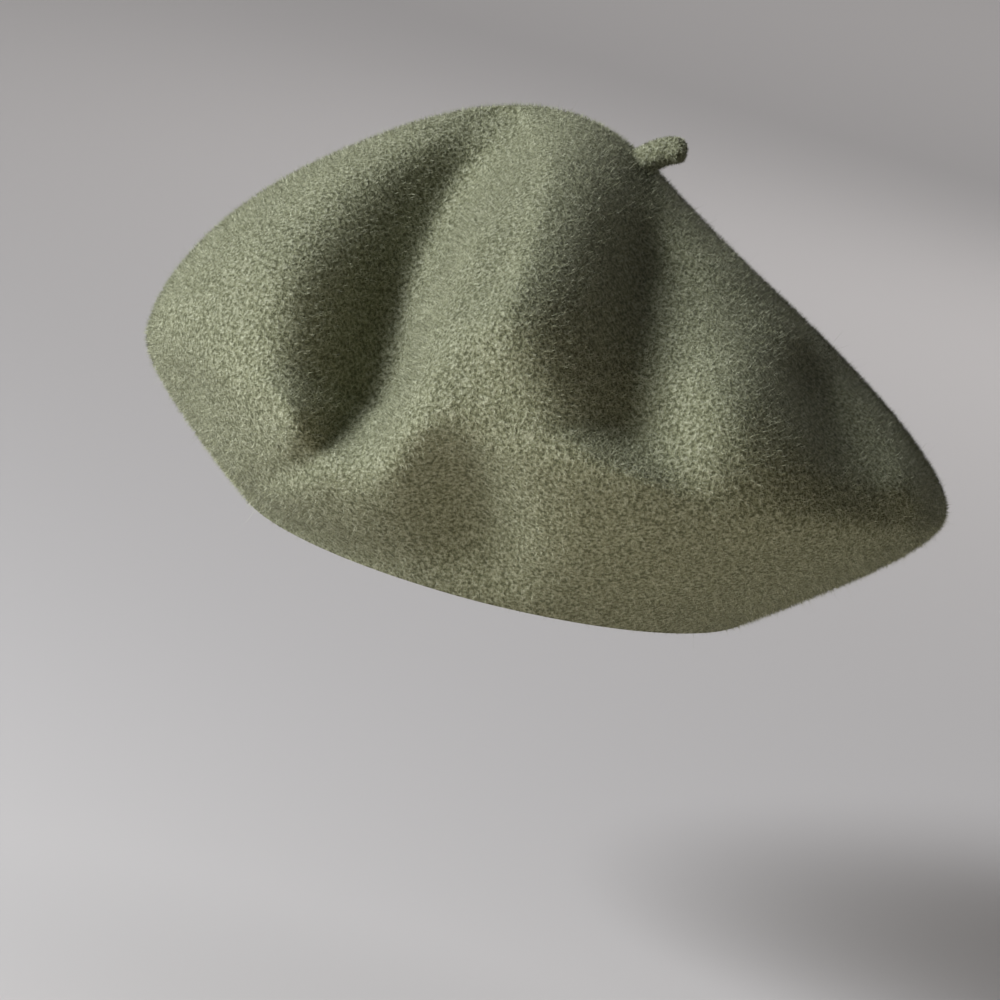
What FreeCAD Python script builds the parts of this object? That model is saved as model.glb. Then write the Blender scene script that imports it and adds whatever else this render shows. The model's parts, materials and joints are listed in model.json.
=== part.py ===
import FreeCAD, Part
import math
import os

import Sketcher

# A seamless felted-wool beret with a sewn-in ribbon sweatband and a short stalk.
# Millimetres. The origin is the centre of the head opening, whose edge lies in the plane Z = 0.
# +Z points up through the crown, +X to the side where the crown is drawn down, -Y to the front.

os.makedirs("parts", exist_ok=True)
document = FreeCAD.newDocument("beret")
Vector = FreeCAD.Vector
Rotation = FreeCAD.Rotation
Placement = FreeCAD.Placement
UP = Vector(0, 0, 1)

# Driving dimensions, in millimetres and degrees. A name that ends in right, left, front or back
# is the value on that side of the hat, and the form changes smoothly from each side to the next.
DRIVING_DIMENSIONS = {
    "opening_radius": 80.0,
    "felt_thickness": 2.6,
    "sewing_gap": 0.25,
    "rim_radius_right": 136.0,
    "rim_radius_left": 126.5,
    "rim_radius_front": 122.0,
    "rim_radius_back": 124.0,
    "rim_height_right": 47.0,
    "rim_height_left": 42.0,
    "rim_height_front": 57.0,
    "rim_height_back": 50.0,
    "rim_fullness_right": 17.0,
    "rim_fullness_left": 47.0,
    "rim_fullness_front": 36.0,
    "rim_fullness_back": 36.0,
    "crown_fullness_right": 18.0,
    "crown_fullness_left": 50.0,
    "crown_fullness_front": 48.0,
    "crown_fullness_back": 52.0,
    "underside_roundness": 9.5,
    "top_offset": 14.5,
    "top_height": 132.0,
    "top_tilt": 31.0,
    "top_radius": 7.0,
    "stalk_length": 7.0,
    "stalk_root_radius": 4.0,
    "stalk_tip_radius": 4.6,
    "stalk_lean": 66.0,
    "stalk_clearance": 0.3,
    "band_height": 25.0,
    "band_thickness": 0.8,
    "strip_gap": 0.05,
    "patch_angle": 10.0,
    "patch_height": 21.0,
    "patch_thickness": 0.5,
    "patch_rise": 2.0,
    "label_angle": 15.0,
    "label_height": 40.0,
    "label_thickness": 0.4,
    "label_rise": 14.0,
    "label_turn": 30.0,
    "thread_radius": 0.3,
    "stitch_depth": 0.4,
    "stitch_share": 0.55,
    "hem_stitch_height": 2.0,
    "hem_stitch_count": 68,
    "join_stitch_rise": 4.0,
    "join_stitch_count": 5,
    "label_stitch_drop": 2.0,
    "label_stitch_count": 6,
    "root_stitch_count": 8,
    "root_stitch_start": 2.0,
    "root_stitch_end": 5.5,
    "root_thread_radius": 0.45,
    "root_thread_sunk": 0.27,
}


def fill_sheet():
    sheet = document.addObject("Spreadsheet::Sheet", "Dimensions")
    for row, (alias, value) in enumerate(DRIVING_DIMENSIONS.items(), start=1):
        sheet.set(f"A{row}", alias)
        sheet.set(f"B{row}", str(value))
        sheet.setAlias(f"B{row}", alias)
    document.recompute()
    return sheet


sheet = fill_sheet()


def size(alias):
    return float(sheet.get(alias))


def bind(item, **expressions):
    """Binds each property to an expression on the sheet, where a plain word is a cell's alias."""
    for name, expression in expressions.items():
        item.setExpression(name, expression)


# --- The felt: one seamless wall from the hem, out to the rim and over the crown ---


def around(quantity, angle):
    """The value of a side-dependent quantity at an angle about Z, where 0 is right and 90 is back."""
    right, left, front, back = (size(f"{quantity}_{side}") for side in ("right", "left", "front", "back"))
    mean = (right + left + front + back) / 4
    oval = (right + left - front - back) / 4
    turn = math.radians(angle)
    sideways = (right - left) / 2 * math.cos(turn)
    lengthways = (back - front) / 2 * math.sin(turn)
    return mean + sideways + lengthways + oval * math.cos(2 * turn)


def outward(angle):
    return Vector(math.cos(math.radians(angle)), math.sin(math.radians(angle)), 0)


def top_normal():
    return Vector(math.sin(math.radians(size("top_tilt"))), 0, math.cos(math.radians(size("top_tilt"))))


def top_centre():
    return Vector(size("top_offset"), 0, size("top_height"))


def hem_radius():
    """The radius of the felt's outer face at the hem."""
    return size("opening_radius") + size("band_thickness") + size("sewing_gap") + size("felt_thickness")


def cubic(points, share):
    """The point at a share of the way along the cubic curve with these four control points."""
    rest = 1 - share
    weights = (rest**3, 3 * rest**2 * share, 3 * rest * share**2, share**3)
    total = Vector(0, 0, 0)
    for point, weight in zip(points, weights):
        total += point * weight
    return total


UNDERSIDE_CONTROL_SHARE = 0.45  # where the underside's own control point stands, from hem to rim


def profile_points(angle, inset):
    """The seven control points of the wall's profile at one angle, each moved in by inset.
    The first four shape the underside and the last four shape the crown."""
    out = outward(angle)
    hem = out * (hem_radius() - inset)
    rim = out * (around("rim_radius", angle) - inset) + UP * around("rim_height", angle)
    rim_below = rim - UP * size("underside_roundness")
    slope = (rim_below - hem).normalize()
    inward = UP * slope.dot(out) - out * slope.z
    underside = hem + (rim_below - hem) * UNDERSIDE_CONTROL_SHARE + inward * (inset / 2)
    rim_above = rim + UP * around("rim_fullness", angle)
    tilted = Rotation(Vector(0, 1, 0), size("top_tilt")).multVec(out)
    top = top_centre() - top_normal() * inset + tilted * size("top_radius")
    top_side = top + tilted * around("crown_fullness", angle)
    return [hem, underside, rim_below, rim, rim_above, top_side, top]


RING_POINTS = 32
UNDERSIDE_STEPS = 5
CROWN_STEPS = 7


def felt_solid(inset):
    """A closed solid inside the wall's face at this inset, lofted through rings from hem to top."""
    profiles = [profile_points(360 * step / RING_POINTS, inset) for step in range(RING_POINTS)]
    rings = []
    for step in range(UNDERSIDE_STEPS):
        rings.append([cubic(profile[:4], step / UNDERSIDE_STEPS) for profile in profiles])
    for step in range(CROWN_STEPS + 1):
        rings.append([cubic(profile[3:], step / CROWN_STEPS) for profile in profiles])
    wires = []
    for ring in rings:
        curve = Part.BSplineCurve()
        curve.interpolate(ring, PeriodicFlag=True)
        wires.append(Part.Wire(curve.toShape()))
    return Part.makeLoft(wires, True, False)


def shaped(label, shape):
    item = document.addObject("Part::Feature", label)
    item.Label = label
    item.Shape = shape
    item.Placement = Placement()
    return item


def make_felt_body():
    return shaped("felt_body", felt_solid(0).cut(felt_solid(size("felt_thickness"))))


# --- Bodies and sketches ---


def origin_plane(body, role):
    return next(feature for feature in body.Origin.OriginFeatures if feature.Role == role)


def new_body(label):
    body = document.addObject("PartDesign::Body", label)
    body.Label = label
    return body


def new_sketch(body, role, name):
    sketch = body.newObject("Sketcher::SketchObject", name)
    sketch.AttachmentSupport = (origin_plane(body, role), "")
    sketch.MapMode = "FlatFace"
    return sketch


ORIGIN_POINT = (-1, 1)
UPRIGHT_AXIS = -2
START, END, CENTRE = 1, 2, 3


def constrain(sketch, expression, *constraint):
    """Adds a dimension and binds it to an expression on the sheet."""
    index = sketch.addConstraint(Sketcher.Constraint(*constraint))
    sketch.setExpression(f"Constraints[{index}]", expression)


def make_sweatband():
    body = new_body("sweatband")
    sketch = new_sketch(body, "XY_Plane", "band_ring")
    inner = size("opening_radius")
    for radius, expression in (
        (inner, "Dimensions.opening_radius"),
        (inner + size("band_thickness"), "Dimensions.opening_radius + Dimensions.band_thickness"),
    ):
        circle = sketch.addGeometry(Part.Circle(Vector(), UP, radius))
        sketch.addConstraint(Sketcher.Constraint("Coincident", circle, CENTRE, *ORIGIN_POINT))
        constrain(sketch, expression, "Radius", circle, radius)
    pad = body.newObject("PartDesign::Pad", "band_ribbon")
    pad.Profile = sketch
    bind(pad, Length="Dimensions.band_height")
    return body


def make_stalk():
    """The stalk, turned about its own length, with its rounded root centred on the body's origin."""
    body = new_body("stalk")
    sketch = new_sketch(body, "XZ_Plane", "stalk_outline")
    root, tip, length = size("stalk_root_radius"), size("stalk_tip_radius"), size("stalk_length")
    quarter = math.pi / 2
    root_arc = sketch.addGeometry(Part.ArcOfCircle(Part.Circle(Vector(), UP, root), -quarter, 0))
    side = sketch.addGeometry(Part.LineSegment(Vector(root, 0, 0), Vector(tip, length, 0)))
    tip_circle = Part.Circle(Vector(0, length, 0), UP, tip)
    tip_arc = sketch.addGeometry(Part.ArcOfCircle(tip_circle, 0, quarter))
    axis = sketch.addGeometry(Part.LineSegment(Vector(0, length + tip, 0), Vector(0, -root, 0)))
    for constraint in (
        ("Coincident", root_arc, CENTRE, *ORIGIN_POINT),
        ("PointOnObject", tip_arc, CENTRE, UPRIGHT_AXIS),
        ("Coincident", tip_arc, END, axis, START),
        ("Coincident", axis, END, root_arc, START),
        ("PointOnObject", axis, START, UPRIGHT_AXIS),
        ("PointOnObject", axis, END, UPRIGHT_AXIS),
        ("Tangent", root_arc, END, side, START),
        ("Tangent", side, END, tip_arc, START),
    ):
        sketch.addConstraint(Sketcher.Constraint(*constraint))
    constrain(sketch, "Dimensions.stalk_root_radius", "Radius", root_arc, root)
    constrain(sketch, "Dimensions.stalk_tip_radius", "Radius", tip_arc, tip)
    constrain(sketch, "Dimensions.stalk_length", "DistanceY", root_arc, CENTRE, tip_arc, CENTRE, length)
    turned = body.newObject("PartDesign::Revolution", "stalk_form")
    turned.Profile = sketch
    turned.ReferenceAxis = (sketch, ["V_Axis"])
    turned.Angle = 360
    root_rise = size("stalk_root_radius") + size("stalk_clearance")
    pivot = top_centre() + top_normal() * root_rise
    body.Placement = Placement(pivot, Rotation(Vector(0, 1, 0), size("stalk_lean")))
    print("stalk pivot", [round(value, 3) for value in pivot])
    return body


# --- Curved strips that stand behind the sweatband ---

BACK = 90


def make_curved_strip(label, piece, middle_angle):
    """A strip bent to the band's curve, centred at an angle about Z, with its own height and rise."""
    inner_radius = "Dimensions.opening_radius + Dimensions.band_thickness + Dimensions.strip_gap"
    outer = document.addObject("Part::Cylinder", f"{label}_outer")
    bind(
        outer,
        Radius=f"{inner_radius} + Dimensions.{piece}_thickness",
        Height=f"Dimensions.{piece}_height",
        Angle=f"Dimensions.{piece}_angle",
    )
    inner = document.addObject("Part::Cylinder", f"{label}_inner")
    bind(inner, Radius=inner_radius, Height=f"Dimensions.{piece}_height")
    strip = document.addObject("Part::Cut", label)
    strip.Label = label
    strip.Base = outer
    strip.Tool = inner
    first_edge = middle_angle - size(f"{piece}_angle") / 2
    strip.Placement = Placement(UP * size(f"{piece}_rise"), Rotation(UP, first_edge))
    return strip


# --- Threads ---


def thread(start, end, radius):
    """A straight length of thread with rounded ends."""
    along = end - start
    rod = Part.makeCylinder(radius, along.Length, start, along)
    return rod.fuse([Part.makeSphere(radius, start), Part.makeSphere(radius, end)]).removeSplitter()


def stitch_radius():
    """How far from Z the middle of a stitch in the sweatband's wall lies."""
    return size("opening_radius") + size("stitch_depth")


def band_stitch(angle, height, direction, pitch):
    """One stitch in the sweatband's wall, which takes up its share of the pitch along the direction."""
    radius = size("thread_radius")
    half = direction * (pitch * size("stitch_share") / 2 - radius)
    middle = outward(angle) * stitch_radius() + UP * height
    return thread(middle - half, middle + half, radius)


def stitches_around(first_angle, angle_step, count, height):
    """A row of stitches that follows the band's curve."""
    pitch = math.radians(angle_step) * stitch_radius()
    angles = [first_angle + angle_step * step for step in range(count)]
    return [band_stitch(angle, height, outward(angle + 90), pitch) for angle in angles]


def make_hem_stitches():
    count = int(size("hem_stitch_count"))
    step = 360 / count
    stitches = stitches_around(step / 2, step, count, size("hem_stitch_height"))
    return shaped("hem_stitches", Part.makeCompound(stitches))


def make_join_stitches():
    """Two upright rows, one each side of the line where the ribbon's ends meet."""
    count = int(size("join_stitch_count"))
    low = size("join_stitch_rise")
    pitch = (size("patch_rise") + size("patch_height") - low) / count
    stitches = []
    for side in (-1, 1):
        angle = BACK + side * size("patch_angle") / 4
        for step in range(count):
            stitches.append(band_stitch(angle, low + pitch * (step + 0.5), UP, pitch))
    return shaped("band_join_stitches", Part.makeCompound(stitches))


def make_label_stitches():
    """One row through the band's top edge, which holds the top of the label behind it."""
    count = int(size("label_stitch_count"))
    step = size("label_angle") / count
    first = BACK + size("label_turn") - step * (count - 1) / 2
    height = size("band_height") - size("label_stitch_drop")
    return shaped("care_label_stitches", Part.makeCompound(stitches_around(first, step, count, height)))


def make_root_stitches():
    """Threads that cross the inside of the crown around the stalk's root, like short spokes."""
    count = int(size("root_stitch_count"))
    radius = size("root_thread_radius")
    depth = size("felt_thickness") + radius - size("root_thread_sunk")
    centre = top_centre() - top_normal() * depth
    stitches = []
    for step in range(count):
        spoke = Rotation(Vector(0, 1, 0), size("top_tilt")).multVec(outward(360 * step / count))
        start = centre + spoke * size("root_stitch_start")
        end = centre + spoke * size("root_stitch_end")
        stitches.append(thread(start, end, radius))
    return shaped("stalk_root_stitches", Part.makeCompound(stitches))


# --- Build, check and export ---


sub_parts = [
    make_felt_body(),
    make_stalk(),
    make_root_stitches(),
    make_sweatband(),
    make_curved_strip("band_join_patch", "patch", BACK),
    make_curved_strip("care_label", "label", BACK + size("label_turn")),
    make_hem_stitches(),
    make_join_stitches(),
    make_label_stitches(),
]
document.recompute()

for item in document.Objects:
    if "Invalid" in item.State or "Error" in item.State:
        raise RuntimeError(f"{item.Label} did not build: {item.State}")
for item in sub_parts:
    if item.Shape.isNull() or not item.Shape.isValid():
        raise RuntimeError(f"{item.Label} has no valid shape")
for item in sub_parts:
    item.Shape.exportStep(f"parts/{item.Label}.step")
    box = item.Shape.BoundBox
    corners = [round(v, 1) for v in (box.XMin, box.YMin, box.ZMin, box.XMax, box.YMax, box.ZMax)]
    print(item.Label, corners, "volume", round(item.Shape.Volume, 1), "solids", len(item.Shape.Solids))
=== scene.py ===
import json
import math

import bpy
import numpy as np
from mathutils import Matrix, Vector, noise


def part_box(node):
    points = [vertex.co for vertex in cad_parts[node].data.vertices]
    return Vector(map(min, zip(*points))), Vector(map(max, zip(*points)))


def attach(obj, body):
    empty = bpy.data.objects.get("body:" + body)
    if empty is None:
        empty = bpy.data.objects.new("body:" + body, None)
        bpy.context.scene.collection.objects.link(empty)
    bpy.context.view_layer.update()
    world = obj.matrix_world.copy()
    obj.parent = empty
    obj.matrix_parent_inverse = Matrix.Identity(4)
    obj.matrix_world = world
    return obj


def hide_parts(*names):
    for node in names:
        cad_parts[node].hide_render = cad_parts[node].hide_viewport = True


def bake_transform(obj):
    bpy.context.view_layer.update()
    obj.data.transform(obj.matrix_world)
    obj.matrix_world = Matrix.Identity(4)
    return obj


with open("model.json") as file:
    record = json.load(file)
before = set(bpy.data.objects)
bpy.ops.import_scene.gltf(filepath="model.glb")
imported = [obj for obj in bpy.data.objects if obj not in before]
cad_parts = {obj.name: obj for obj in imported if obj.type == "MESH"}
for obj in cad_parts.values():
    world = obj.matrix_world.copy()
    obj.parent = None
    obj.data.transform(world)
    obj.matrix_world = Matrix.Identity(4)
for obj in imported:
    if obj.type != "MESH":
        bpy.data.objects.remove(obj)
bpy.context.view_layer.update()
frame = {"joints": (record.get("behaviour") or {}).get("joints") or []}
print("frame loaded")

mm = 0.001


# camera, light and floor

viewSettings = {
    "distance": 2.0,
    "widthSeen": 0.320,  # how much of the hat's own plane the picture takes in
    "sensorWidth": 36,
    "clipEnd": 100,
    "elevation": 11.3,
    "roll": 14.3,
    "aimAcross": -0.0028,
    "aimUp": 0.0154,
}


def addCamera(settings):
    elevation = math.radians(settings["elevation"])
    back = Vector((0, -math.cos(elevation), math.sin(elevation)))
    upright = Vector((0, math.sin(elevation), math.cos(elevation)))
    roll = math.radians(settings["roll"])
    across = Vector((1, 0, 0)) * math.cos(roll) + upright * math.sin(roll)
    up = upright * math.cos(roll) - Vector((1, 0, 0)) * math.sin(roll)
    aim = Vector((settings["aimAcross"], 0, settings["aimUp"]))
    data = bpy.data.cameras.new("camera")
    data.sensor_width = settings["sensorWidth"]
    data.lens = settings["sensorWidth"] * settings["distance"] / settings["widthSeen"]
    data.clip_end = settings["clipEnd"]
    camera = bpy.data.objects.new("camera", data)
    turned = Matrix((across, up, back)).transposed().to_4x4()
    camera.matrix_world = Matrix.Translation(aim + back * settings["distance"]) @ turned
    bpy.context.scene.collection.objects.link(camera)
    bpy.context.scene.camera = camera


lamps = {
    "windowLight": {
        "size": 0.6, "watts": 51, "colour": (0.965, 0.995, 1.02),
        "stands": (-1.34, -0.79, 0.76), "aim": (0, 0, 0.07),
    },
    "tableBounce": {
        "size": 0.45, "watts": 0.6, "colour": (1.0, 0.88, 0.68),
        "stands": (0.07, -0.24, -0.115), "aim": (0.03, -0.04, 0.05),
    },
    "backFill": {
        "size": 1.4, "watts": 8, "colour": (1.0, 0.98, 0.96),
        "stands": (0.5, 1.5, 0.9), "aim": (0, 0, 0.07),
    },
    "floorWash": {
        "size": 3.0, "watts": 40, "colour": (1.0, 0.99, 0.98),
        "stands": (0.5, 3.2, 2.0), "aim": (0.5, 3.2, -0.1),
    },
}


def addLamp(name, settings):
    data = bpy.data.lights.new(name, "AREA")
    data.shape = "DISK"
    data.size = settings["size"]
    data.energy = settings["watts"]
    data.color = settings["colour"]
    lamp = bpy.data.objects.new(name, data)
    stands = Vector(settings["stands"])
    turned = (Vector(settings["aim"]) - stands).to_track_quat("-Z", "Y").to_matrix().to_4x4()
    lamp.matrix_world = Matrix.Translation(stands) @ turned
    lamp.visible_camera = False
    bpy.context.scene.collection.objects.link(lamp)


backdrop = {
    "seenColour": (0.50, 0.49, 0.50),
    "lightColour": (0.03, 0.03, 0.03),
    "floorRadius": 6.0,
    "floorBelow": 0.125,
    "floorColour": (0.50, 0.48, 0.48),
    "floorRoughness": 0.9,
}


def addWorld(settings):
    world = bpy.data.worlds.new("studio")
    bpy.context.scene.world = world
    world.use_nodes = True
    nodes, links = world.node_tree.nodes, world.node_tree.links
    lighting = nodes["Background"]
    lighting.inputs["Color"].default_value = (*settings["lightColour"], 1)
    seen = nodes.new("ShaderNodeBackground")
    seen.inputs["Color"].default_value = (*settings["seenColour"], 1)
    path = nodes.new("ShaderNodeLightPath")
    mix = nodes.new("ShaderNodeMixShader")
    links.new(path.outputs["Is Camera Ray"], mix.inputs["Fac"])
    links.new(lighting.outputs["Background"], mix.inputs[1])
    links.new(seen.outputs["Background"], mix.inputs[2])
    links.new(mix.outputs["Shader"], nodes["World Output"].inputs["Surface"])


def addFloor(settings):
    bpy.ops.mesh.primitive_circle_add(vertices=96, radius=settings["floorRadius"], fill_type="NGON")
    floor = bpy.context.object
    floor.name = "floor"
    floor.data.transform(Matrix.Translation((0, 0, -settings["floorBelow"])))
    material = bpy.data.materials.new("paleFloor")
    material.use_nodes = True
    shader = material.node_tree.nodes["Principled BSDF"]
    shader.inputs["Base Color"].default_value = (*settings["floorColour"], 1)
    shader.inputs["Roughness"].default_value = settings["floorRoughness"]
    floor.data.materials.append(material)


addCamera(viewSettings)
for lampName, lampSettings in lamps.items():
    addLamp(lampName, lampSettings)
addWorld(backdrop)
bpy.context.scene.view_settings.view_transform = "Standard"
addFloor(backdrop)
print("camera, lights and floor ready")


# the felt: one seamless wall from the hem, out to the rim and over the crown

feltLow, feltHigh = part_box("felt_body")
bandLow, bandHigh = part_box("sweatband")
stalkPivot = Vector(frame["joints"][0]["pos_m"])
leftDrawIn = 1.5 * mm  # the drape pulls the left tip in by this much

felt = {
    "thickness": 2.6 * mm,
    "sewingGap": 0.25 * mm,
    "rimRadius": {
        "right": feltHigh.x, "left": -feltLow.x - leftDrawIn, "front": -feltLow.y, "back": feltHigh.y,
    },
    "rimHeight": {"right": 47 * mm, "left": 42 * mm, "front": 57 * mm, "back": 50 * mm},
    "rimFullness": {"right": 17 * mm, "left": 47 * mm, "front": 36 * mm, "back": 36 * mm},
    "crownFullness": {"right": 18 * mm, "left": 50 * mm, "front": 48 * mm, "back": 52 * mm},
    "undersideRoundness": 9.5 * mm,
    "undersideShare": 0.45,  # where along the way from hem to rim the underside's profile is drawn to
    "topOffset": 14.5 * mm,
    "topHeight": 132 * mm,
    "topTilt": 31,
    "topRadius": 7 * mm,
    "hemRoundness": 0.8,
    "relaxRounds": 12,
    "relaxShare": 0.6,  # how far a round moves each point towards the mean of its neighbours
    "undersideRows": 46,
    "crownRows": 96,
    "crownSpacing": 0.94,  # under 1 puts more rows near the top
    "topRows": 5,
    "topGap": 0.4,  # of a row, left open round the pole
    "hemRows": 5,
    "innerStep": 3,  # the inner wall has a row for every third one outside
    "columns": 400,
}

# Each fold crosses the front or back along points of (across, up, depth) in millimetres, and its push says
# which way the felt goes. leftWidth and rightWidth say how far its flanks reach. A negative depth is a
# ridge.
frontFolds = {
    "deepValley": {
        "points": (
            (-29, 132, 20), (-35, 124, 35), (-50, 95, 54), (-57, 60, 56),
            (-57, 45, 56), (-56, 26, 46), (-59, 16, 10), (-66, 16, -5),
        ),
        "leftWidth": 16, "rightWidth": 16, "push": (0.2, 1, 0),
    },
    "ridge": {
        "points": (
            (-14, 135, 0), (-12, 105, -6), (-13, 76, -17), (-30, 55, -3), (-44, 27, -17), (-55, 15, -14),
        ),
        "leftWidth": 4, "rightWidth": 23, "push": (0.2, 1, 0),
    },
    "softValley": {
        "points": ((-2, 137, 4), (16, 119, 14), (25, 93, 30), (29, 60, 23), (33, 41, 18), (32, 33, 1)),
        "leftWidth": 16, "rightWidth": 18, "push": (0, 1, 0),
    },
    "bulge": {
        "points": ((18, 124, 2), (37, 108, -4), (48, 86, 4), (60, 65, -6), (60, 42, -2)),
        "leftWidth": 13, "rightWidth": 21, "push": (0, 1, 0),
    },
    "narrowValley": {
        "points": ((53, 107, -7), (73, 92, -5), (83, 77, 10), (94, 62, 8), (94, 47, 1)),
        "leftWidth": 10, "rightWidth": 10, "push": (-0.5, 0.8, 0),
    },
    "sideLip": {
        "points": ((84, 90, -3), (96, 77, -8), (110, 65, -10), (115, 53, -9)),
        "leftWidth": 7, "rightWidth": 12, "push": (-0.5, 0.8, 0),
    },
    "rimCrease": {
        "points": ((28, 26, 0), (65, 32, 2), (105, 43, 1)),
        "leftWidth": 7, "rightWidth": 6, "push": (-0.3, 0.9, 0.2),
    },
    "undersideDent": {
        "points": ((-31, 33, 5), (-18, 20, 13), (-8, 7, 12), (-2, -6, 7)),
        "leftWidth": 17, "rightWidth": 14, "push": (0, 1, 0),
    },
    "farLeftTuck": {
        "points": ((-120, 44, -2), (-111, 25, 6), (-97, 11, -1), (-83, 2, -5)),
        "leftWidth": 7, "rightWidth": 10, "push": (0.8, 0.5, 0),
    },
    "lobeSlope": {
        "points": ((-60, 121, 0), (-70, 88, 6), (-74, 52, 3)),
        "leftWidth": 9, "rightWidth": 17, "push": (0.2, 1, 0),
    },
    "brow": {
        "points": ((-104, 92, -2), (-99, 72, -6), (-96, 50, 0), (-88, 30, 2)),
        "leftWidth": 16, "rightWidth": 15, "push": (0.2, 1, 0),
    },
}
backFolds = {
    "leftFold": {
        "points": ((-62, 118, 3), (-74, 92, 12), (-84, 66, 17), (-92, 44, 6)),
        "leftWidth": 14, "rightWidth": 20, "push": (0.4, -0.9, 0),
    },
    "middleFold": {
        "points": ((-8, 128, 3), (-12, 104, 13), (-20, 76, 20), (-26, 52, 10)),
        "leftWidth": 20, "rightWidth": 13, "push": (0, -1, 0),
    },
    "rightFold": {
        "points": ((34, 106, 3), (48, 88, 11), (60, 68, 14), (70, 50, 6)),
        "leftWidth": 13, "rightWidth": 18, "push": (-0.4, -0.9, 0),
    },
    "rimCrease": {
        "points": ((-70, 30, 1), (-20, 26, 6), (30, 27, 5), (76, 34, 1)),
        "leftWidth": 8, "rightWidth": 8, "push": (0, -1, 0),
    },
}
foldFade = {
    "facing": (0.0, 0.35),  # a fold starts where the felt begins to face its side, and is whole past this
    "height": (1 * mm, 14 * mm),  # it dies out above the hem, which stays round
}


def ringTurns(count):
    return np.linspace(0, 2 * math.pi, count, endpoint=False)


def around(sides, turn):
    mean = (sides["right"] + sides["left"] + sides["front"] + sides["back"]) / 4
    oval = (sides["right"] + sides["left"] - sides["front"] - sides["back"]) / 4
    sideways = (sides["right"] - sides["left"]) / 2 * np.cos(turn)
    lengthways = (sides["back"] - sides["front"]) / 2 * np.sin(turn)
    return mean + sideways + lengthways + oval * np.cos(2 * turn)


def cubic(points, share):
    rest = 1 - share
    weights = (rest**3, 3 * rest**2 * share, 3 * rest * share**2, share**3)
    return sum(w[:, None, None] * p[None] for w, p in zip(weights, points))


def topRing(settings, out):
    # the small ring at the top of the crown, which tilts to the right, and its directions outwards
    tilt = math.radians(settings["topTilt"])
    tilted = np.stack([out[:, 0] * math.cos(tilt), out[:, 1], -out[:, 0] * math.sin(tilt)], 1)
    centre = np.array((settings["topOffset"], 0, settings["topHeight"]))
    return centre, centre + tilted * settings["topRadius"], tilted


def baseForm(settings):
    turn = ringTurns(settings["columns"])
    out = np.stack([np.cos(turn), np.sin(turn), np.zeros_like(turn)], 1)
    up = np.array((0, 0, 1.0))
    hem = out * (bandHigh.x + settings["sewingGap"] + settings["thickness"])
    rimHeight = around(settings["rimHeight"], turn)[:, None]
    rim = out * around(settings["rimRadius"], turn)[:, None] + up * rimHeight
    rimBelow = rim - up * settings["undersideRoundness"]
    underside = hem + (rimBelow - hem) * settings["undersideShare"]
    rimAbove = rim + up * around(settings["rimFullness"], turn)[:, None]
    centre, top, tilted = topRing(settings, out)
    topSide = top + tilted * around(settings["crownFullness"], turn)[:, None]
    lowShares = np.linspace(0, 1, settings["undersideRows"], endpoint=False)
    highShares = np.linspace(0, 1, settings["crownRows"]) ** settings["crownSpacing"]
    low = cubic((hem, underside, rimBelow, rim), lowShares)
    high = cubic((rim, rimAbove, topSide, top), highShares)
    shrink = 1 - np.arange(1, settings["topRows"] + 1) / (settings["topRows"] + settings["topGap"])
    cap = centre + (top - centre)[None] * shrink[:, None, None]
    return np.concatenate([low, high, cap])


def gridNormals(rows):
    alongTurn = np.roll(rows, -1, 1) - np.roll(rows, 1, 1)
    alongRow = np.gradient(rows, axis=0)
    normal = np.cross(alongTurn, alongRow)
    return normal / np.maximum(np.linalg.norm(normal, axis=2, keepdims=True), 1e-12)


def smoothPath(points, steps=6):
    ends = np.vstack([2 * points[0] - points[1], points, 2 * points[-1] - points[-2]])
    made = []
    for i in range(1, len(ends) - 2):
        p0, p1, p2, p3 = ends[i - 1 : i + 3]
        square = 2 * p0 - 5 * p1 + 4 * p2 - p3
        cube = 3 * p1 - p0 - 3 * p2 + p3
        for t in np.arange(steps) / steps:
            made.append(0.5 * (2 * p1 + (p2 - p0) * t + square * t**2 + cube * t**3))
    made.append(points[-1])
    return np.array(made)


def foldDepth(across, up, fold):
    # the depth of the nearest place on the path, fading away from it over its flank's width
    points = smoothPath(np.array(fold["points"], float))
    best = np.full(across.shape, 1e9)
    depth = np.zeros(across.shape)
    for a, b in zip(points[:-1], points[1:]):
        run = b[:2] - a[:2]
        share = np.clip(((across - a[0]) * run[0] + (up - a[1]) * run[1]) / (run @ run), 0, 1)
        offAcross = across - a[0] - share * run[0]
        offUp = up - a[1] - share * run[1]
        far = np.hypot(offAcross, offUp)
        side = run[0] * offUp - run[1] * offAcross  # above nought to the path's left, looking along it
        width = np.where(side * -run[1] > 0, fold["rightWidth"], fold["leftWidth"])
        here = (a[2] + share * (b[2] - a[2])) * np.exp(-((far / width) ** 2))
        nearer = far / width < best
        depth = np.where(nearer, here, depth)
        best = np.where(nearer, far / width, best)
    return depth * mm


def smoothStep(value, low, high):
    share = np.clip((value - low) / (high - low), 0, 1)
    return share * share * (3 - 2 * share)


def pressFolds(rows, folds, facing):
    # facing is 1 for the front and -1 for the back, and both are looked at from a little above
    elevation = math.radians(viewSettings["elevation"])
    towards = np.array((0, -facing * math.cos(elevation), math.sin(elevation)))
    across = rows[:, :, 0] / mm
    up = (rows[:, :, 2] * math.cos(elevation) + facing * rows[:, :, 1] * math.sin(elevation)) / mm
    reach = smoothStep(gridNormals(rows) @ towards, *foldFade["facing"])
    reach = reach * smoothStep(rows[:, :, 2], *foldFade["height"])
    for fold in folds.values():
        rows = rows + np.array(fold["push"]) * (foldDepth(across, up, fold) * reach)[:, :, None]
    return rows


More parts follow.
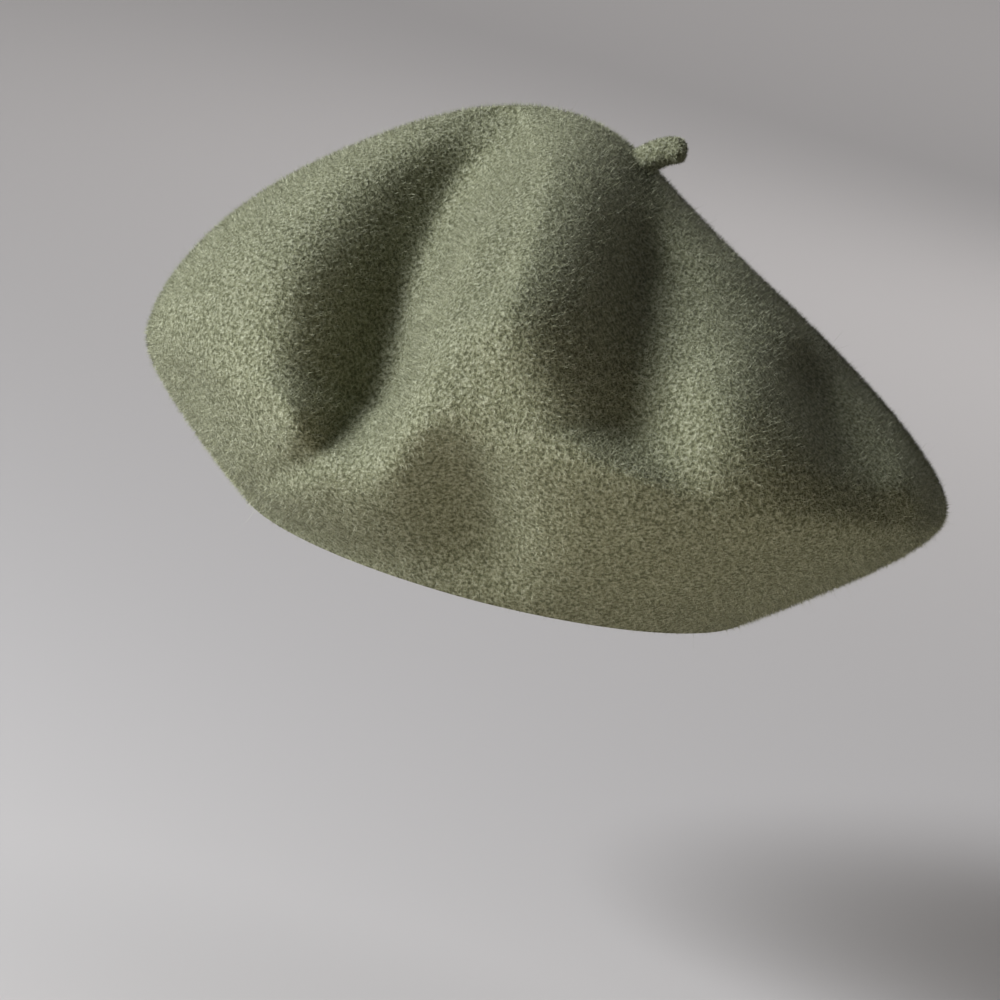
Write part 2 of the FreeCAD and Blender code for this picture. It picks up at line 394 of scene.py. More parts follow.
def relaxed(rows, settings):
    share = settings["relaxShare"]
    for _ in range(settings["relaxRounds"]):
        mean = (np.roll(rows, 1, 1) + np.roll(rows, -1, 1)) / 4
        mean[1:-1] += (rows[2:] + rows[:-2]) / 4
        rows[1:-1] = rows[1:-1] * (1 - share) + mean[1:-1] * share
    return rows


def gridFaces(rowCount, columns):
    row = np.arange(rowCount - 1)[:, None] * columns
    column = np.arange(columns)[None]
    following = (column + 1) % columns
    corners = (row + column, row + following, row + columns + following, row + columns + column)
    return [tuple(f) for f in np.stack(corners, 2).reshape(-1, 4)]


def makeMesh(name, points, faces):
    mesh = bpy.data.meshes.new(name)
    mesh.from_pydata([tuple(p) for p in points], [], faces)
    mesh.shade_smooth()
    made = bpy.data.objects.new(name, mesh)
    bpy.context.scene.collection.objects.link(made)
    return made


def hemEdge(outer, inner, settings):
    # the rounded edge between the felt's two walls
    middle = (outer + inner) / 2
    half = (outer - inner) / 2
    down = np.array((0, 0, -settings["thickness"] / 2))
    turns = np.linspace(0, math.pi, settings["hemRows"] + 2)[1:-1]
    fullness = settings["hemRoundness"]
    return np.array([middle - half * math.cos(t) + down * math.sin(t) * fullness for t in turns])


def makeFelt(settings):
    rows = baseForm(settings)
    rows = pressFolds(rows, frontFolds, 1)
    rows = pressFolds(rows, backFolds, -1)
    rows = relaxed(rows, settings)
    step, columns = settings["innerStep"], settings["columns"]
    inner = rows[::step] - gridNormals(rows)[::step] * settings["thickness"]
    grid = np.concatenate([inner[::-1], hemEdge(rows[0], inner[0], settings), rows])
    points = grid.reshape(-1, 3)
    innerPole, outerPole = len(points), len(points) + 1
    points = np.vstack([points, inner[-1].mean(0), rows[-1].mean(0)])
    faces = gridFaces(len(grid), columns)
    last = (len(grid) - 1) * columns
    for c in range(columns):
        n = (c + 1) % columns
        faces.append((innerPole, n, c))
        faces.append((last + c, last + n, outerPole))
    return makeMesh("feltBody", points, faces), rows


feltBody, feltRows = makeFelt(felt)
print("felt body", len(feltBody.data.polygons), "faces")


# shared by all the materials

def newMaterial(name, finish):
    material = bpy.data.materials.new(name)
    material.use_nodes = True
    shader = material.node_tree.nodes["Principled BSDF"]
    for socket, value in finish.items():
        shader.inputs[socket].default_value = value
    return material, material.node_tree, shader


def noiseNode(tree, scale, detail=3.0, roughness=0.5, distortion=0.0):
    place = tree.nodes.get("Texture Coordinate") or tree.nodes.new("ShaderNodeTexCoord")
    node = tree.nodes.new("ShaderNodeTexNoise")
    node.inputs["Scale"].default_value = scale
    node.inputs["Detail"].default_value = detail
    node.inputs["Roughness"].default_value = roughness
    node.inputs["Distortion"].default_value = distortion
    tree.links.new(place.outputs["Object"], node.inputs["Vector"])
    return node.outputs["Fac"]


def ramp(tree, value, *stops):
    node = tree.nodes.new("ShaderNodeValToRGB")
    elements = node.color_ramp.elements
    while len(elements) < len(stops):
        elements.new(0.5)
    for element, (position, colour) in zip(elements, stops):
        element.position = position
        element.color = (*colour, 1)
    tree.links.new(value, node.inputs["Fac"])
    return node.outputs["Color"]


def shades(tree, value, dark, pale):
    # a grey ramp from one (position, shade) to another
    return ramp(tree, value, *((position, (shade, shade, shade)) for position, shade in (dark, pale)))


def multiplied(tree, colour, by, amount=1.0):
    node = tree.nodes.new("ShaderNodeMix")
    node.data_type = "RGBA"
    node.blend_type = "MULTIPLY"
    node.inputs["Factor"].default_value = amount
    tree.links.new(colour, node.inputs["A"])
    tree.links.new(by, node.inputs["B"])
    return node.outputs["Result"]


def bumped(tree, height, distance, under=None):
    node = tree.nodes.new("ShaderNodeBump")
    node.inputs["Distance"].default_value = distance
    node.inputs["Strength"].default_value = 1.0
    tree.links.new(height, node.inputs["Height"])
    if under is not None:
        tree.links.new(under, node.inputs["Normal"])
    return node.outputs["Normal"]


# the felt's finish: a heather of dark and pale wool over a matted, pebbled surface, with painted shade: the
# colour is darker in the gaps between the pebbles and paler on their tops

feltLook = {
    "darkWoolAndGapShade": (0.092, 0.095, 0.050),
    "greenWool": (0.242, 0.250, 0.153),
    "paleWool": (0.420, 0.428, 0.305),
    "pebbleScale": 900,
    "cloudScale": 26,
    "knitScale": 210,
    "grainScale": 1300,
    "fibreScale": 2300,
    "fibreShare": 0.8,  # how strongly the fibres mark the colour
    "pebbleDepth": 0.7 * mm,
    "knitDepth": 0.9 * mm,
    "grainDepth": 0.35 * mm,
    "fibreDepth": 0.2 * mm,
    "roughness": 0.95,
    "shine": 0.2,
    "sheen": 0.25,
    "sheenRoughness": 0.6,
}


def feltFinish(look):
    finish = {
        "Roughness": look["roughness"],
        "Specular IOR Level": look["shine"],
        "Sheen Weight": look["sheen"],
        "Sheen Roughness": look["sheenRoughness"],
        "Sheen Tint": (*look["paleWool"], 1),
    }
    material, tree, shader = newMaterial("greenFelt", finish)
    pebble = noiseNode(tree, look["pebbleScale"], 2, 0.6)
    # painted shade over the heather: the pebbles' own height sets the colour, dark wool in the gaps between
    # them and pale wool on their tops
    wool = ramp(tree, pebble, (0.34, look["darkWoolAndGapShade"]), (0.50, look["greenWool"]), (0.68, look["paleWool"]))
    cloud = noiseNode(tree, look["cloudScale"], 3)
    wool = multiplied(tree, wool, shades(tree, cloud, (0.3, 0.84), (0.7, 1.0)))
    fibre = noiseNode(tree, look["fibreScale"], 2, 0.6, 1.5)
    wool = multiplied(tree, wool, shades(tree, fibre, (0.34, 0.6), (0.6, 1.0)), look["fibreShare"])
    tree.links.new(wool, shader.inputs["Base Color"])
    knit = bumped(tree, noiseNode(tree, look["knitScale"], 2, 0.5, 0.3), look["knitDepth"])
    pebbles = bumped(tree, shades(tree, pebble, (0.3, 0.0), (0.7, 1.0)), look["pebbleDepth"], knit)
    grain = bumped(tree, noiseNode(tree, look["grainScale"], 3, 0.6, 0.8), look["grainDepth"], pebbles)
    tree.links.new(bumped(tree, fibre, look["fibreDepth"], grain), shader.inputs["Normal"])
    return material


greenFelt = feltFinish(feltLook)
feltBody.data.materials.append(greenFelt)
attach(feltBody, "hat")
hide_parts("felt_body")


# the nap: loose wool fibres that stand and lie on the felt

napLook = {
    "tones": {
        "woolDarkAndGapShade": (0.116, 0.120, 0.065),
        "woolGreen": (0.239, 0.246, 0.153),
        "woolPale": (0.407, 0.416, 0.301),
    },
    "darkShare": 0.36,
    "paleShare": 0.34,
    "clumpScale": 900,
    "clumpFrom": (0.34, 0.66),  # the noise that counts as a gap and as the middle of a clump
    # how much of a fibre's tone is painted shade that follows the pebbles, rather than chance
    "pebbleShadeShare": 0.55,
    "clumpGrowth": 0.7,
    "scale": (0.4, 0.7),
    "taper": 1.15,  # at 1 a fibre would end in a point
    "roughness": 0.9,
    "shine": 0.2,
    "sheen": 0.2,
    "layers": {
        # fibres, length, width, least and most lean from upright in degrees, curl, steps along a fibre
        "napOne": (47000, 1.10 * mm, 0.16 * mm, 45, 82, 0.60, 2),
        "napTwo": (47000, 0.90 * mm, 0.16 * mm, 30, 76, 0.60, 2),
        "napThree": (47000, 1.00 * mm, 0.15 * mm, 45, 82, 0.60, 2),
        "napRaised": (44000, 1.70 * mm, 0.075 * mm, 5, 58, 0.45, 2),
        "napLoose": (500, 5.5 * mm, 0.055 * mm, 64, 80, 0.70, 8),
    },
}


def woolTone(name, tone, look):
    # a fibre is too thin to show a pattern: the heather, and the painted shade in the gaps between the
    # pebbles, come from the tones, spread by the nap's own nodes
    finish = {
        "Base Color": (*tone, 1), "Roughness": look["roughness"],
        "Specular IOR Level": look["shine"], "Sheen Weight": look["sheen"],
    }
    return newMaterial(name, finish)[0]


napTones = {name: woolTone(name, tone, napLook) for name, tone in napLook["tones"].items()}


class patternTree:
    # a geometry-nodes tree with named number inputs, put together one node at a time
    def __init__(self, name, inputs):
        self.tree = bpy.data.node_groups.new(name, "GeometryNodeTree")
        face = self.tree.interface
        face.new_socket("Geometry", in_out="INPUT", socket_type="NodeSocketGeometry")
        self.sockets = {}
        for label, kind in inputs.items():
            socket = face.new_socket(label, in_out="INPUT", socket_type="NodeSocket" + kind)
            self.sockets[label] = socket.identifier
        face.new_socket("Geometry", in_out="OUTPUT", socket_type="NodeSocketGeometry")
        self.entry = self.tree.nodes.new("NodeGroupInput")
        self.exit = self.tree.nodes.new("NodeGroupOutput")

    def given(self, label):
        return self.entry.outputs[label]

    def feed(self, socket, value):
        if isinstance(value, bpy.types.NodeSocket):
            self.tree.links.new(value, socket)
        else:
            socket.default_value = value

    def add(self, kind, settings=None, **values):
        # values go to inputs by name, with _ for a space, or by place, such as _0 for the first
        node = self.tree.nodes.new(kind)
        for name, value in (settings or {}).items():
            setattr(node, name, value)
        for name, value in values.items():
            byPlace = name[0] == "_" and name[1:].isdigit()
            self.feed(node.inputs[int(name[1:]) if byPlace else name.replace("_", " ")], value)
        return node

    def maths(self, operation, first, second=0.0):
        return self.add("ShaderNodeMath", {"operation": operation}, _0=first, _1=second).outputs[0]

    def times(self, first, second):
        return self.maths("MULTIPLY", first, second)

    def spread(self, low, high, seed):
        node = self.add("FunctionNodeRandomValue", {"data_type": "FLOAT"}, Seed=seed)
        self.feed(node.inputs[2], low)
        self.feed(node.inputs[3], high)
        return node.outputs[1]

    def joined(self, x, y, z):
        return self.add("ShaderNodeCombineXYZ", X=x, Y=y, Z=z).outputs[0]

    def coated(self, geometry, material, chosen=True):
        node = self.add("GeometryNodeSetMaterial", Geometry=geometry, Selection=chosen, Material=material)
        return node.outputs[0]

    def finish(self, geometry):
        self.tree.links.new(geometry, self.exit.inputs[0])


def applyPattern(name, base, pattern, values):
    base.name = name
    modifier = base.modifiers.new("pattern", "NODES")
    modifier.node_group = pattern.tree
    for label, value in values.items():
        modifier[pattern.sockets[label]] = value
    bpy.context.view_layer.update()
    evaluated = base.evaluated_get(bpy.context.evaluated_depsgraph_get())
    mesh = bpy.data.meshes.new_from_object(evaluated)
    base.modifiers.clear()
    base.data = mesh
    mesh.name = name
    print(name, len(mesh.polygons), "faces")
    return base


def fibreStrip(made, look, steps):
    # one upright fibre, narrower towards its tip, that curls over to one side
    strip = made.add("GeometryNodeMeshGrid", Size_X=1.0, Size_Y=1.0, Vertices_X=2, Vertices_Y=steps + 1)
    where = made.add("ShaderNodeSeparateXYZ", _0=made.add("GeometryNodeInputPosition").outputs[0])
    along = made.maths("ADD", where.outputs["Y"], 0.5)
    across = made.times(where.outputs["X"], made.maths("SUBTRACT", look["taper"], along))
    bend = made.times(made.times(along, along), made.given("Curl"))
    shape = made.joined(
        made.times(across, made.given("Width")),
        made.times(bend, made.given("Length")),
        made.times(along, made.given("Length")),
    )
    return made.add("GeometryNodeSetPosition", Geometry=strip.outputs["Mesh"], Position=shape).outputs[0]


def fibreTurn(made, ground):
    # each fibre leans from the felt's own upright, to a side of its own
    lean = made.spread(made.given("Least Lean"), made.given("Most Lean"), 11)
    turn = made.spread(0.0, 2 * math.pi, 12)
    upright = made.add("FunctionNodeEulerToRotation", _0=made.joined(lean, 0.0, 0.0)).outputs[0]
    swing = made.add("FunctionNodeEulerToRotation", _0=made.joined(0.0, 0.0, turn)).outputs[0]
    local = {"rotation_space": "LOCAL"}
    leaning = made.add("FunctionNodeRotateRotation", local, Rotation=swing, Rotate_By=upright).outputs[0]
    away = ground.outputs["Rotation"]
    return made.add("FunctionNodeRotateRotation", local, Rotation=away, Rotate_By=leaning).outputs[0]


def fibreClump(made, look):
    # nought in the gaps between the felt's pebbles, and one in a pebble's middle, where fibres are longer
    patchy = made.add("ShaderNodeTexNoise", Scale=made.given("Clump Scale"), Detail=2.0, Roughness=0.6)
    gap, middle = look["clumpFrom"]
    return made.add("ShaderNodeMapRange", _0=patchy.outputs["Fac"], _1=gap, _2=middle).outputs[0]


def fibreTones(made, fibres, clump):
    # painted shade: fibres in the gaps between pebbles are darker and those in a pebble's middle paler, and
    # the rest of the tone is chance
    loose = made.times(made.spread(0.0, 1.0, 14), made.maths("SUBTRACT", 1.0, made.given("Pebble Shade Share")))
    tint = made.maths("ADD", made.times(clump, made.given("Pebble Shade Share")), loose)
    toned = made.add("GeometryNodeStoreNamedAttribute", {"data_type": "FLOAT", "domain": "INSTANCE"},
                     Geometry=fibres, Name="tone", Value=tint)
    real = made.add("GeometryNodeRealizeInstances", Geometry=toned.outputs[0]).outputs[0]
    tone = made.add("GeometryNodeInputNamedAttribute", {"data_type": "FLOAT"}, Name="tone").outputs[0]
    dark = made.maths("LESS_THAN", tone, made.given("Dark Share"))
    pale = made.maths("GREATER_THAN", tone, made.maths("SUBTRACT", 1.0, made.given("Pale Share")))
    real = made.coated(real, napTones["woolGreen"])
    real = made.coated(real, napTones["woolDarkAndGapShade"], dark)
    return made.coated(real, napTones["woolPale"], pale)


def napTree(look, steps):
    lengths = ("Density", "Length", "Width", "Least Lean", "Most Lean", "Curl")
    shares = ("Dark Share", "Pale Share", "Clump Scale", "Pebble Shade Share")
    made = patternTree("napTree", {"Seed": "Int", **{label: "Float" for label in lengths + shares}})
    ground = made.add("GeometryNodeDistributePointsOnFaces", {"distribute_method": "RANDOM"},
                      Mesh=made.given("Geometry"), Density=made.given("Density"), Seed=made.given("Seed"))
    clump = fibreClump(made, look)
    tall = made.maths("ADD", made.times(clump, look["clumpGrowth"]), made.spread(*look["scale"], 13))
    fibres = made.add("GeometryNodeInstanceOnPoints", Points=ground.outputs["Points"],
                      Instance=fibreStrip(made, look, steps), Rotation=fibreTurn(made, ground),
                      Scale=made.joined(1.0, tall, tall))
    made.finish(fibreTones(made, fibres.outputs[0], clump))
    return made


def addNap(name, layer, ground, look, seed):
    count, length, width, leastLean, mostLean, curl, steps = layer
    base = bpy.data.objects.new(name, ground.data.copy())
    bpy.context.scene.collection.objects.link(base)
    area = sum(face.area for face in ground.data.polygons)
    return applyPattern(name, base, napTree(look, steps), {
        "Density": count / area, "Seed": seed, "Length": length, "Width": width,
        "Least Lean": math.radians(leastLean), "Most Lean": math.radians(mostLean), "Curl": curl,
        "Dark Share": look["darkShare"], "Pale Share": look["paleShare"],
        "Clump Scale": look["clumpScale"], "Pebble Shade Share": look["pebbleShadeShare"],
    })


def makeNap(look):
    ground = makeMesh("napGround", feltRows.reshape(-1, 3), gridFaces(len(feltRows), felt["columns"]))
    for seed, (name, layer) in enumerate(look["layers"].items(), 1):
        nap = addNap(name, layer, ground, look, seed)
        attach(nap, "hat")
    bpy.data.objects.remove(ground)


makeNap(napLook)
print("nap ready")


# the stalk: a short felted twist of wool that grows out of the middle of the crown

stalkLook = {
    "lean": 66,
    "length": 7.0 * mm,
    "footRadius": 5.9 * mm,
    "footShare": 0.34,  # of the stalk's length, over which the foot narrows to the neck
    "neckRadius": 4.65 * mm,
    "tipRadius": 4.25 * mm,
    "sunk": 1.6 * mm,
    "bendLift": 0.5 * mm,
    "bendReach": 2.5 * mm,  # a length past the stalk's pivot
    "lumps": 0.45 * mm,
    "lumpScale": 380,
    "fineLumpScale": 800,
    "fineLumps": 0.5,  # next to the broad ones
    "rows": 44,
    "tipRows": 10,
    "columns": 48,
    "firstSeed": 20,
    "nap": {
        "stalkNapLying": (3200, 0.75 * mm, 0.17 * mm, 58, 88, 0.50, 2),
        "stalkNapRaised": (500, 0.9 * mm, 0.07 * mm, 20, 70, 0.45, 2),
    },
}


def turnedBy(degrees):
    return np.array((math.sin(math.radians(degrees)), 0, math.cos(math.radians(degrees))))


def stalkLine(settings):
    crownUp = turnedBy(felt["topTilt"])
    top = np.array((felt["topOffset"], 0, felt["topHeight"]))
    root = np.array(stalkPivot)
    tip = root + turnedBy(settings["lean"]) * settings["length"]
    start = top - crownUp * settings["sunk"]
    bend = root + crownUp * settings["bendLift"]
    share = np.linspace(0, 1, settings["rows"])[:, None]
    return (1 - share) ** 2 * start + 2 * share * (1 - share) * bend + share**2 * tip


def stalkRadii(settings):
    share = np.linspace(0, 1, settings["rows"])
    foot = np.clip(1 - share / settings["footShare"], 0, 1) ** 2
    neck, tip = settings["neckRadius"], settings["tipRadius"]
    return neck + (settings["footRadius"] - neck) * foot + (tip - neck) * share


def stalkRings(settings):
    line = stalkLine(settings)
    along = np.gradient(line, axis=0)
    along /= np.linalg.norm(along, axis=1, keepdims=True)
    side = np.array((0, 1.0, 0))
    across = np.cross(side, along)
    turn = ringTurns(settings["columns"])[:, None]
    circles = [outward * np.cos(turn) + side * np.sin(turn) for outward in across]
    rings = [line[k] + radius * circles[k] for k, radius in enumerate(stalkRadii(settings))]
    tip = settings["tipRadius"]
    for step in np.linspace(0, math.pi / 2, settings["tipRows"] + 2)[1:-1]:
        rings.append(line[-1] + along[-1] * (tip * math.sin(step)) + tip * math.cos(step) * circles[-1])
    return np.array(rings), line[-1] + along[-1] * tip, line[0]


def lumpiness(p, settings):
    fine = noise.noise(Vector(p) * settings["fineLumpScale"])
    return noise.noise(Vector(p) * settings["lumpScale"]) + settings["fineLumps"] * fine


def makeStalk(settings):
    rings, tipPole, footPole = stalkRings(settings)
    lumps = np.array([[lumpiness(p, settings) for p in ring] for ring in rings]) * settings["lumps"]
    grid = rings + gridNormals(rings) * lumps[:, :, None]
    points = np.vstack([grid.reshape(-1, 3), tipPole, footPole])
    faces = gridFaces(len(grid), settings["columns"])
    last = (len(grid) - 1) * settings["columns"]
    for c in range(settings["columns"]):
        n = (c + 1) % settings["columns"]
        faces.append((last + c, last + n, len(points) - 2))
        faces.append((n, c, len(points) - 1))
    return makeMesh("stalkFelt", points, faces)


def finishStalk(settings):
    stalk = makeStalk(settings)
    naps = [addNap(name, layer, stalk, napLook, seed)
            for seed, (name, layer) in enumerate(settings["nap"].items(), settings["firstSeed"])]
    for piece in [stalk, *naps]:
        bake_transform(piece)
    stalk.data.materials.append(greenFelt)
    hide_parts("stalk")


finishStalk(stalkLook)
print("stalk ready")


# the sweatband: a ribbed ribbon round the inside of the opening

bandLook = {
    "ribs": 560,
    "pointsPerRib": 4,
    "ribDepth": 0.11 * mm,
    "selvedge": 1.1 * mm,
    "beadDepth": 0.10 * mm,
    "beadPlace": 0.45,  # of the selvedge, in from the edge
    "beadWidth": 0.3,  # of the selvedge
    "ribsEnd": 0.7,  # of the selvedge, where the ribs die out
    "rows": 14,
    "wave": 0.14 * mm,  # how far the free upper edge wanders in and out
    "waves": ((0.6, 5, 1), (0.4, 11, 0)),  # share of the wave, times round the opening, and turn
    "thickness": 0.8 * mm,
    "darkYarn": (0.030, 0.034, 0.022),
    "paleYarn": (0.085, 0.092, 0.060),
    "yarnScale": 1500,
    "yarnDepth": 0.08 * mm,
    "cloudScale": 60,
}


def ribbonFinish(look):
    material, tree, shader = newMaterial("ribbedRibbon", {
        "Roughness": 0.55, "Specular IOR Level": 0.35, "Sheen Weight": 0.15, "Sheen Roughness": 0.4})
    yarn = noiseNode(tree, look["yarnScale"], 3, 0.6, 0.5)
    cloud = noiseNode(tree, look["cloudScale"], 2)
    colour = ramp(tree, yarn, (0.3, look["darkYarn"]), (0.7, look["paleYarn"]))
    colour = multiplied(tree, colour, shades(tree, cloud, (0.3, 0.85), (0.7, 1.0)))
    tree.links.new(colour, shader.inputs["Base Color"])
    tree.links.new(bumped(tree, yarn, look["yarnDepth"]), shader.inputs["Normal"])
    return material


def closedLoopFaces(rowCount, columns):
    row = np.arange(rowCount)[:, None]
    column = np.arange(columns)[None]
    nextRow = (row + 1) % rowCount
    nextColumn = (column + 1) % columns
    corners = (row * columns + column, nextRow * columns + column,
               nextRow * columns + nextColumn, row * columns + nextColumn)
    return [tuple(f) for f in np.stack(np.broadcast_arrays(*corners), 2).reshape(-1, 4)]


def ringAt(radius, turn, height):
    return np.stack([radius * np.cos(turn), radius * np.sin(turn), np.full_like(turn, height)], 1)


def makeBand(look):
    columns = look["ribs"] * look["pointsPerRib"]
    turn = ringTurns(columns)
    low, high, outer = bandLow.z, bandHigh.z, bandHigh.x
    inner = outer - look["thickness"] + look["ribDepth"]
    ribs = look["ribDepth"] * (0.5 + 0.5 * np.cos(look["ribs"] * turn))
    wave = look["wave"] * sum(share * np.sin(count * turn + start) for share, count, start in look["waves"])
    innerRings, outerRings = [], []
    for height in np.linspace(low, high, look["rows"]):
        fromEdge = min(height - low, high - height) / look["selvedge"]
        ribbed = ribs * smoothStep(fromEdge, look["ribsEnd"], 1)
        bead = look["beadDepth"] * math.exp(-((fromEdge - look["beadPlace"]) / look["beadWidth"]) ** 2)
        loose = wave * smoothStep(height, (low + high) / 2, high)
        innerRings.append(ringAt(inner + loose - ribbed - bead, turn, height))
        outerRings.append(ringAt(outer + loose, turn, height))
    grid = np.array(innerRings + outerRings[::-1])
    band = makeMesh("sweatbandRibbon", grid.reshape(-1, 3), closedLoopFaces(len(grid), columns))
    band.data.materials.append(ribbonFinish(look))
    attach(band, "hat")
    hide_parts("sweatband")
    return band


band = makeBand(bandLook)
print("sweatband", len(band.data.polygons), "faces")


# strips behind the band: the patch over the ribbon's join, and the care label folded double

stripLook = {
    "standOff": 0.05 * mm,
    "patchColumns": 72, "patchRows": 30, "patchRibs": 18, "patchRib": 0.06 * mm,
    "labelColumns": 40, "labelRows": 60, "labelHalfAngle": 7.5, "labelThickness": 0.4 * mm,
    "labelHeld": 0.3,  # of the label's height, below which the band holds it
    "labelCurl": 1.6 * mm,
    "labelMiddleCurl": 0.4,  # of the curl at the label's sides
    "labelSway": 0.25 * mm,
    "labelRipples": (5, 7),  # across and up
    "satin": (0.62, 0.60, 0.54), "satinShade": (0.45, 0.43, 0.38),
    "warpScale": 2200, "warpDepth": 0.04 * mm,
}


def stripFaces(columns, rows):
    total = 2 * rows
    faces = []
    for r in range(total):
        n = (r + 1) % total
        for c in range(columns - 1):
            faces.append((r * columns + c, n * columns + c, n * columns + c + 1, r * columns + c + 1))
    last = columns - 1
    for r in range(rows - 1):
        here, above = r * columns, (r + 1) * columns
        mirror, mirrorAbove = (total - 1 - r) * columns, (total - 2 - r) * columns
        faces.append((here, mirror, mirrorAbove, above))
        faces.append((here + last, above + last, mirrorAbove + last, mirror + last))
    return faces


def curvedSheet(name, turn, halfAngle, low, high, columns, rows, innerRadius, thickness, bulge):
    # a thin closed strip along the opening's curve, made up its inner face and down its outer one
    across = np.linspace(-1, 1, columns)
    up = np.linspace(0, 1, rows)
    angle = turn + across * halfAngle
    rings = []
    for depth, order in ((0, up), (thickness, up[::-1])):
        for v in order:
            rings.append(ringAt(innerRadius + depth + bulge(across, v), angle, low + v * (high - low)))
    return makeMesh(name, np.array(rings).reshape(-1, 3), stripFaces(columns, rows))


def satinFinish(look):
    material, tree, shader = newMaterial("wovenSatin", {
        "Roughness": 0.35, "Specular IOR Level": 0.5, "Sheen Weight": 0.1, "Anisotropic": 0.5})
    warp = noiseNode(tree, look["warpScale"], 2, 0.5, 0.2)
    colour = ramp(tree, warp, (0.35, look["satinShade"]), (0.6, look["satin"]))
    tree.links.new(colour, shader.inputs["Base Color"])
    tree.links.new(bumped(tree, warp, look["warpDepth"]), shader.inputs["Normal"])
    return material


def makePatch(look):
    low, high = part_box("band_join_patch")
    halfAngle = math.asin(high.x / high.y)
    inner = bandHigh.x + look["standOff"]
    rib = look["patchRib"]

    def bulge(across, v):
        return rib * np.cos(across * look["patchRibs"] * math.pi)

    patch = curvedSheet("bandJoinPatch", math.pi / 2, halfAngle, low.z, high.z,
                        look["patchColumns"], look["patchRows"],
                        inner + rib, high.y - inner - 2 * rib, bulge)
    patch.data.materials.append(band.data.materials[0])
    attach(patch, "hat")
    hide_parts("band_join_patch")
    return patch


def turnOf(node):
    # where a node stands round the opening, and how high its middle is
    low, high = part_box(node)
    middle = (low + high) / 2
    return math.atan2(middle.y, middle.x), middle.z


def makeLabel(look):
    low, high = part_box("care_label")
    middle = look["labelMiddleCurl"]
    ripplesAcross, ripplesUp = look["labelRipples"]

    def bulge(across, v):
        free = smoothStep(v, look["labelHeld"], 1.0)
        curl = look["labelCurl"] * free * (middle + (1 - middle) * across**2)
        return -curl - look["labelSway"] * free * np.sin(across * ripplesAcross + v * ripplesUp)

    label = curvedSheet("careLabel", turnOf("care_label")[0], math.radians(look["labelHalfAngle"]),
                        low.z, high.z, look["labelColumns"], look["labelRows"],
                        bandHigh.x + look["standOff"], look["labelThickness"], bulge)
    label.data.materials.append(satinFinish(look))
    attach(label, "hat")
    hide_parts("care_label")
    return label


patch = makePatch(stripLook)
label = makeLabel(stripLook)
print("strips ready")


# the stitches: thread laid along rows of points, each with its own direction

stitchLook = {
    "thread": (0.060, 0.064, 0.042),
    "threadPale": (0.110, 0.116, 0.080),
    "plyScale": 3000,
    "plyDepth": 0.06 * mm,
    "plumpness": 1.15,  # next to the plain threads of the CAD
    "sides": 8,
    "rings": 6,
    "hemCount": 68, "hemInset": 0.35 * mm, "hemLength": 4.1 * mm,
    "joinCount": 5,
    "joinSteps": 4.55,  # the row's height, where a step runs from one stitch to the next
    "joinStart": 0.27,  # of a step, from the row's foot up to the first stitch
    "joinLength": 0.6,  # of a step
    "labelCount": 6, "labelStep": 2.5, "labelLength": 1.95 * mm,
    "rootCount": 8, "rootGap": 0.25 * mm, "rootOut": 3.75 * mm,
    "rootLength": 4.4 * mm, "rootThickness": 0.95 * mm,
}


def threadFinish(look):
    material, tree, shader = newMaterial("sewingThread", {
        "Roughness": 0.5, "Specular IOR Level": 0.4, "Sheen Weight": 0.2})
    ply = noiseNode(tree, look["plyScale"], 2, 0.5, 1.0)
    colour = ramp(tree, ply, (0.35, look["thread"]), (0.65, look["threadPale"]))
    tree.links.new(colour, shader.inputs["Base Color"])
    tree.links.new(bumped(tree, ply, look["plyDepth"]), shader.inputs["Normal"])
    return material


sewingThread = threadFinish(stitchLook)


def stitchTree(look):
    made = patternTree("stitchTree", {"Length": "Float", "Thickness": "Float"})
    ball = made.add("GeometryNodeMeshUVSphere", Segments=look["sides"], Rings=look["rings"], Radius=0.5)
    size = made.joined(made.given("Length"), made.given("Thickness"), made.given("Thickness"))
    stitch = made.add("GeometryNodeTransform", Geometry=ball.outputs["Mesh"], Scale=size)
    along = made.add("GeometryNodeInputNamedAttribute", {"data_type": "FLOAT_VECTOR"}, Name="along")
    aligned = made.add("FunctionNodeAlignRotationToVector", {"axis": "X"}, Vector=along.outputs[0])
    placed = made.add("GeometryNodeInstanceOnPoints", Points=made.given("Geometry"),
                      Instance=stitch.outputs[0], Rotation=aligned.outputs[0])
    real = made.add("GeometryNodeRealizeInstances", Geometry=placed.outputs[0]).outputs[0]
    real = made.add("GeometryNodeSetShadeSmooth", Geometry=real).outputs[0]
    made.finish(made.coated(real, sewingThread))
    return made


def addStitches(name, node, centres, directions, length, thickness):
    mesh = bpy.data.meshes.new(name)
    mesh.from_pydata([tuple(p) for p in centres], [], [])
    along = mesh.attributes.new("along", "FLOAT_VECTOR", "POINT")
    along.data.foreach_set("vector", np.array(directions, np.float32).ravel())
    base = bpy.data.objects.new(name, mesh)
    bpy.context.scene.collection.objects.link(base)
    made = applyPattern(name, base, stitchTree(stitchLook), {"Length": length, "Thickness": thickness})
    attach(made, "hat")
    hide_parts(node)


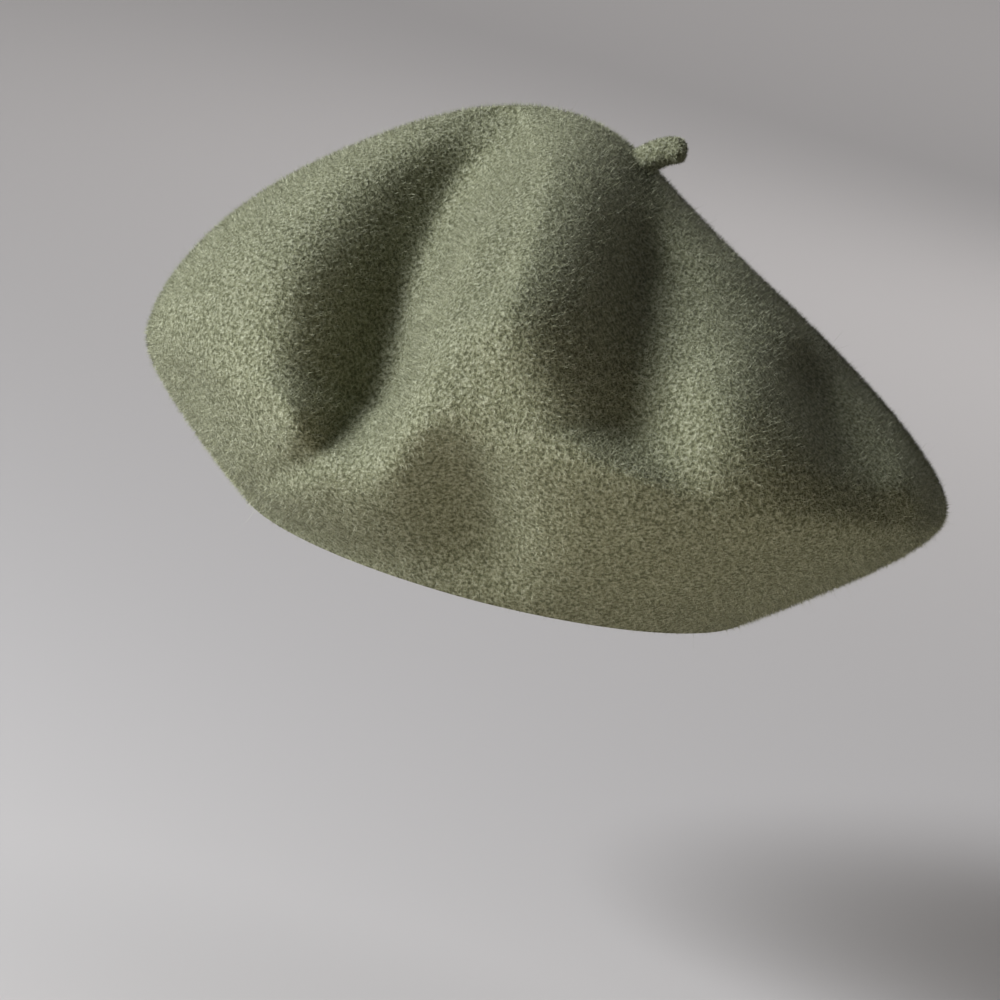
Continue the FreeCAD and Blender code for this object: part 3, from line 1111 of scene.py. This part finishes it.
def ringPoints(turns, radius, height):
    centres = [(radius * math.cos(t), radius * math.sin(t), height) for t in turns]
    directions = [(-math.sin(t), math.cos(t), 0) for t in turns]
    return centres, directions


hemLow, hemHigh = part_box("hem_stitches")
threadRadius = hemHigh.x - stitchLook["hemInset"]  # how far out from the opening's middle the threads lie
threadThickness = (hemHigh.z - hemLow.z) * stitchLook["plumpness"]


def makeHemStitches(look):
    turns = [2 * math.pi * (k + 0.5) / look["hemCount"] for k in range(look["hemCount"])]
    centres, directions = ringPoints(turns, threadRadius, (hemLow.z + hemHigh.z) / 2)
    addStitches("hemStitches", "hem_stitches", centres, directions, look["hemLength"], threadThickness)


def makeJoinStitches(look):
    low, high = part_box("band_join_stitches")
    side = high.x - threadThickness / 2
    pitch = (high.z - low.z) / look["joinSteps"]
    centres = [(x, math.sqrt(threadRadius**2 - x * x), low.z + pitch * (k + look["joinStart"]))
               for x in (-side, side) for k in range(look["joinCount"])]
    addStitches("bandJoinStitches", "band_join_stitches", centres, [(0, 0, 1)] * len(centres),
                pitch * look["joinLength"], threadThickness)


def makeLabelStitches(look):
    turn, height = turnOf("care_label_stitches")
    step = math.radians(look["labelStep"])
    turns = [turn + step * (k - (look["labelCount"] - 1) / 2) for k in range(look["labelCount"])]
    centres, directions = ringPoints(turns, threadRadius, height)
    addStitches("careLabelStitches", "care_label_stitches", centres, directions,
                look["labelLength"], threadThickness)


def makeRootStitches(look):
    crownUp = turnedBy(felt["topTilt"])
    top = np.array((felt["topOffset"], 0, felt["topHeight"]))
    under = top - crownUp * (felt["thickness"] + look["rootGap"])
    side = np.array((crownUp[2], 0, -crownUp[0]))
    across = np.array((0, 1, 0))
    spokes = [side * math.cos(t) + across * math.sin(t) for t in ringTurns(look["rootCount"])]
    centres = [under + spoke * look["rootOut"] for spoke in spokes]
    addStitches("stalkRootStitches", "stalk_root_stitches", centres, spokes,
                look["rootLength"], look["rootThickness"])


makeHemStitches(stitchLook)
makeJoinStitches(stitchLook)
makeLabelStitches(stitchLook)
makeRootStitches(stitchLook)
print("stitches ready")


print("all pieces made")
